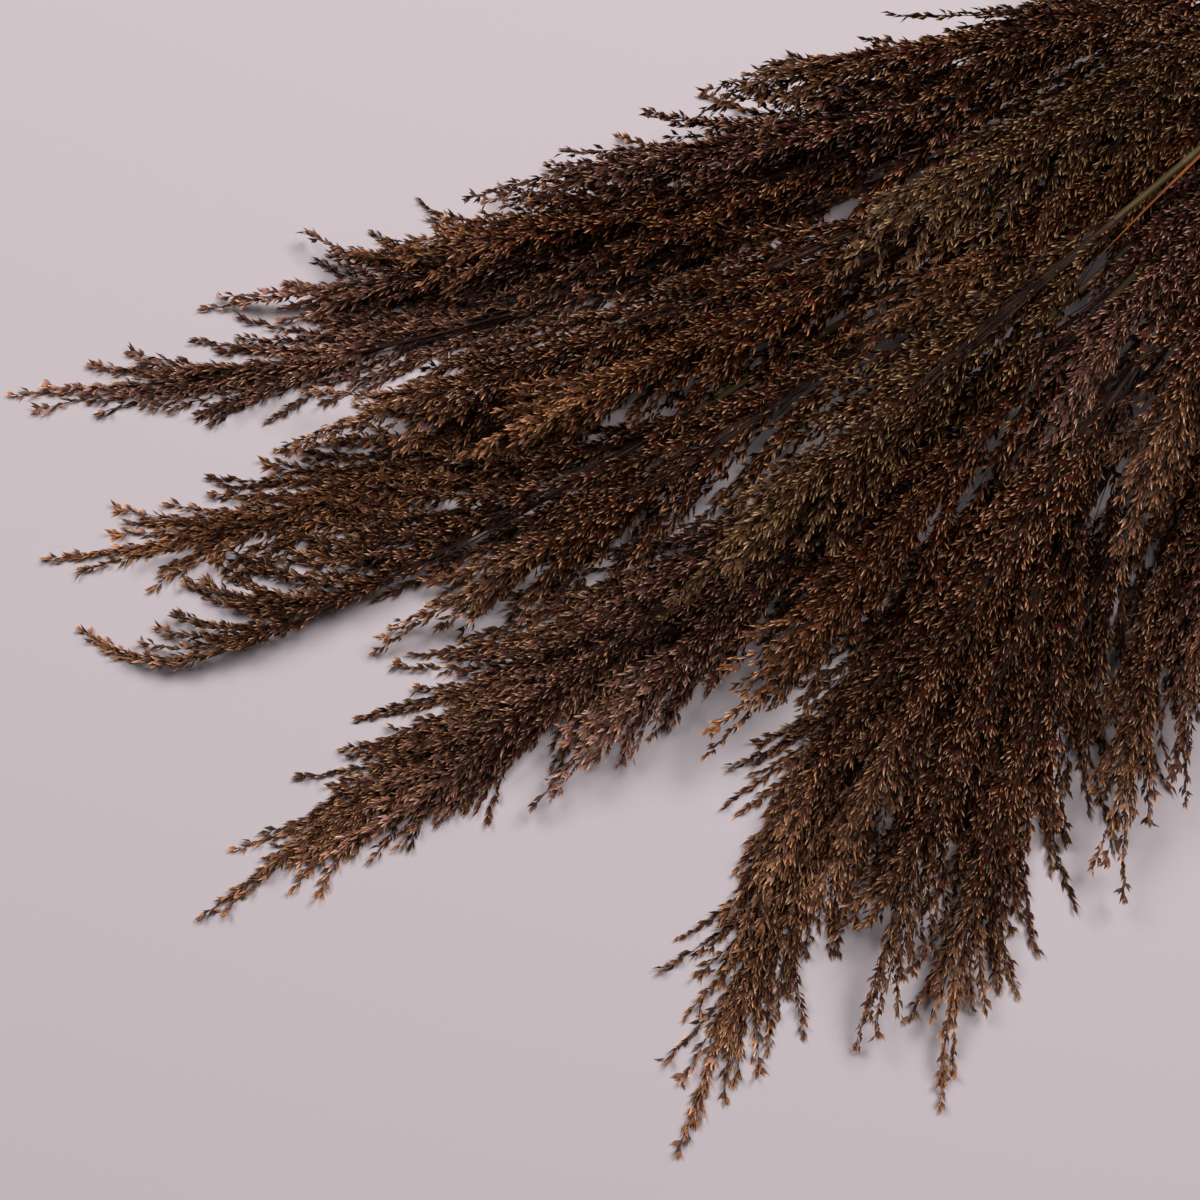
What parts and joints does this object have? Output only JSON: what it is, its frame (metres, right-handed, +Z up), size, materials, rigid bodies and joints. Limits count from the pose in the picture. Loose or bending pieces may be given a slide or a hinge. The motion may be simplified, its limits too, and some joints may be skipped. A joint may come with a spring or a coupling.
{
  "type": "bundle of dried reed grass",
  "caption": "Dried reed grass with dense brown plumes, lying fanned out, its bare stems held together by a rubber band near their cut ends.",
  "frame": {"origin": "centre of the bundle's footprint, on the surface it lies on", "axes": "+X along the bundle from the plumes to the cut ends, +Y across the fan, +Z up from the surface"},
  "size_m": [1.1126, 0.6432, 0.1031],
  "materials": {
    "stem": "dry satin",
    "plume": "matt, fibrous",
    "leaf": "dry matt",
    "band": "matt"
  },
  "bodies": {
    "root": {"stem_01": "stem", "plume_01": "plume", "stem_02": "stem", "plume_02": "plume", "stem_03": "stem", "plume_03": "plume", "stem_04": "stem", "plume_04": "plume", "stem_05": "stem", "plume_05": "plume", "stem_06": "stem", "plume_06": "plume", "stem_07": "stem", "plume_07": "plume", "stem_08": "stem", "plume_08": "plume", "stem_09": "stem", "plume_09": "plume", "stem_10": "stem", "plume_10": "plume", "stem_11": "stem", "plume_11": "plume", "stem_12": "stem", "plume_12": "plume", "stem_13": "stem", "plume_13": "plume", "stem_14": "stem", "plume_14": "plume", "stem_15": "stem", "plume_15": "plume", "stem_16": "stem", "plume_16": "plume", "stem_17": "stem", "plume_17": "plume", "stem_18": "stem", "plume_18": "plume", "stem_19": "stem", "plume_19": "plume", "stem_20": "stem", "plume_20": "plume", "stem_21": "stem", "plume_21": "plume", "stem_22": "stem", "plume_22": "plume", "stem_23": "stem", "plume_23": "plume", "stem_24": "stem", "plume_24": "plume", "stem_25": "stem", "plume_25": "plume", "stem_26": "stem", "plume_26": "plume", "stem_27": "stem", "plume_27": "plume", "leaf_blade_1": "leaf", "leaf_blade_2": "leaf", "leaf_blade_3": "leaf", "rubber_band": "band"}
  },
  "joints": []
}
